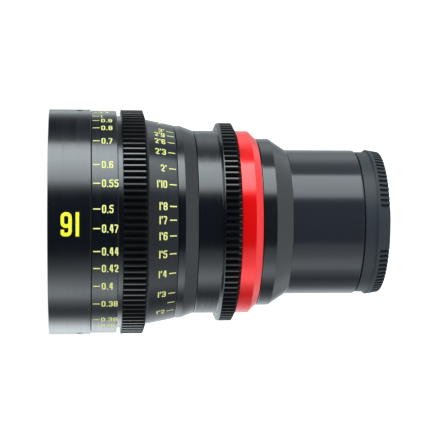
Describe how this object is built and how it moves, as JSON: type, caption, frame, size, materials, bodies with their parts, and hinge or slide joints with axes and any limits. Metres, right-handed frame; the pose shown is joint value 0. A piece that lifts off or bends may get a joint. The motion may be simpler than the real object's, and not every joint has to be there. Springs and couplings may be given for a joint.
{
  "type": "cinema prime lens",
  "caption": "Wide-angle cinema prime lens with geared focus and iris rings, an iris, a helicoid, a red accent ring and a pull-off rear cap.",
  "frame": {"origin": "centre of the rear cap's end face, on the optical axis; the lens stands on its rear cap", "axes": "+Z along the optical axis towards the front; the pictured side faces -Y; +X is the side of the picture's upper edge"},
  "size_m": [0.088, 0.088, 0.13],
  "materials": {
    "black_anodised": "satin black anodised, fine turned grain round the axis",
    "red_anodised": "satin red anodised",
    "inner_black": "matt black anodised, low reflection",
    "cap_plastic": "matt moulded plastic, dark blue-grey",
    "baffle_plastic": "matt black moulded plastic",
    "coated_glass": "polished, with a faint green and violet coating",
    "plated_bayonet": "satin chromium plate on brass",
    "helicoid_brass": "turned, lightly greased",
    "bright_steel": "ground",
    "black_screws": "black oxide",
    "blade_steel": "thin spring steel with a matt black dry coating"
  },
  "bodies": {
    "barrel": {"front_barrel": "black_anodised", "front_set_screws": "black_screws", "main_barrel": "inner_black", "index_ring": "black_anodised", "red_ring": "red_anodised", "rear_barrel": "black_anodised", "mount_tube": "black_anodised", "mount_bayonet": "plated_bayonet", "mount_screws": "bright_steel", "mount_baffle": "baffle_plastic", "guide_ring": "bright_steel", "guide_screws": "black_screws", "iris_housing": "inner_black", "iris_cover": "inner_black", "iris_screws": "black_screws", "rear_cell": "inner_black", "lens_element_5": "coated_glass", "lens_element_6": "coated_glass", "lens_element_7": "coated_glass", "lens_element_8": "coated_glass", "upper_spacer": "inner_black", "lower_spacer": "inner_black", "rear_retaining_ring": "inner_black"},
    "focus_ring": {"focus_ring": "black_anodised", "focus_drive_key": "bright_steel", "helicoid_sleeve": "helicoid_brass"},
    "focus_cell": {"focus_cell": "inner_black", "lens_element_1": "coated_glass", "lens_element_2": "coated_glass", "lens_element_3": "coated_glass", "lens_element_4": "coated_glass", "inner_spacer": "inner_black", "front_retaining_ring": "inner_black", "second_retaining_ring": "inner_black", "inner_retaining_ring": "inner_black"},
    "iris_ring": {"iris_ring": "black_anodised", "iris_drive_pin": "bright_steel", "iris_cam_ring": "inner_black"},
    "rear_cap": {"rear_cap": "cap_plastic"},
    "iris_blade_1": {"iris_blade_1": "blade_steel"},
    "iris_blade_2": {"iris_blade_2": "blade_steel"},
    "iris_blade_3": {"iris_blade_3": "blade_steel"},
    "iris_blade_4": {"iris_blade_4": "blade_steel"},
    "iris_blade_5": {"iris_blade_5": "blade_steel"},
    "iris_blade_6": {"iris_blade_6": "blade_steel"},
    "iris_blade_7": {"iris_blade_7": "blade_steel"},
    "iris_blade_8": {"iris_blade_8": "blade_steel"},
    "iris_blade_9": {"iris_blade_9": "blade_steel"}
  },
  "joints": [
    {"name": "focus_turn", "type": "hinge", "parent": "barrel", "child": "focus_ring", "pos_m": [0, 0, 0.098], "axis": [0, 0, 1], "range_deg": [0, 180]},
    {"name": "focus_slide", "type": "slide", "parent": "barrel", "child": "focus_cell", "axis": [0, 0, 1], "range_m": [0, 0.0035]},
    {"name": "iris_turn", "type": "hinge", "parent": "barrel", "child": "iris_ring", "pos_m": [0, 0, 0.066], "axis": [0, 0, 1], "range_deg": [-75, 0]},
    {"name": "cap_pull", "type": "slide", "parent": "barrel", "child": "rear_cap", "axis": [0, 0, -1], "range_m": [0, 0.018]},
    {"name": "blade_1_turn", "type": "hinge", "parent": "barrel", "child": "iris_blade_1", "pos_m": [0.0207, 0, 0.0624], "axis": [0, 0, 1], "range_deg": [-26.3, 0]},
    {"name": "blade_2_turn", "type": "hinge", "parent": "barrel", "child": "iris_blade_2", "pos_m": [0.01586, 0.01331, 0.0624], "axis": [0, 0, 1], "range_deg": [-26.3, 0]},
    {"name": "blade_3_turn", "type": "hinge", "parent": "barrel", "child": "iris_blade_3", "pos_m": [0.00359, 0.02039, 0.0624], "axis": [0, 0, 1], "range_deg": [-26.3, 0]},
    {"name": "blade_4_turn", "type": "hinge", "parent": "barrel", "child": "iris_blade_4", "pos_m": [-0.01035, 0.01793, 0.0624], "axis": [0, 0, 1], "range_deg": [-26.3, 0]},
    {"name": "blade_5_turn", "type": "hinge", "parent": "barrel", "child": "iris_blade_5", "pos_m": [-0.01945, 0.00708, 0.0624], "axis": [0, 0, 1], "range_deg": [-26.3, 0]},
    {"name": "blade_6_turn", "type": "hinge", "parent": "barrel", "child": "iris_blade_6", "pos_m": [-0.01945, -0.00708, 0.0624], "axis": [0, 0, 1], "range_deg": [-26.3, 0]},
    {"name": "blade_7_turn", "type": "hinge", "parent": "barrel", "child": "iris_blade_7", "pos_m": [-0.01035, -0.01793, 0.0624], "axis": [0, 0, 1], "range_deg": [-26.3, 0]},
    {"name": "blade_8_turn", "type": "hinge", "parent": "barrel", "child": "iris_blade_8", "pos_m": [0.00359, -0.02039, 0.0624], "axis": [0, 0, 1], "range_deg": [-26.3, 0]},
    {"name": "blade_9_turn", "type": "hinge", "parent": "barrel", "child": "iris_blade_9", "pos_m": [0.01586, -0.01331, 0.0624], "axis": [0, 0, 1], "range_deg": [-26.3, 0]}
  ],
  "couplings": [
    {"joint": "focus_slide", "follows": "focus_turn", "m_per_rad": 0.0011141},
    {"joint": "blade_1_turn", "follows": "iris_turn", "ratio": 0.35002},
    {"joint": "blade_2_turn", "follows": "iris_turn", "ratio": 0.35002},
    {"joint": "blade_3_turn", "follows": "iris_turn", "ratio": 0.35002},
    {"joint": "blade_4_turn", "follows": "iris_turn", "ratio": 0.35002},
    {"joint": "blade_5_turn", "follows": "iris_turn", "ratio": 0.35002},
    {"joint": "blade_6_turn", "follows": "iris_turn", "ratio": 0.35002},
    {"joint": "blade_7_turn", "follows": "iris_turn", "ratio": 0.35002},
    {"joint": "blade_8_turn", "follows": "iris_turn", "ratio": 0.35002},
    {"joint": "blade_9_turn", "follows": "iris_turn", "ratio": 0.35002}
  ]
}
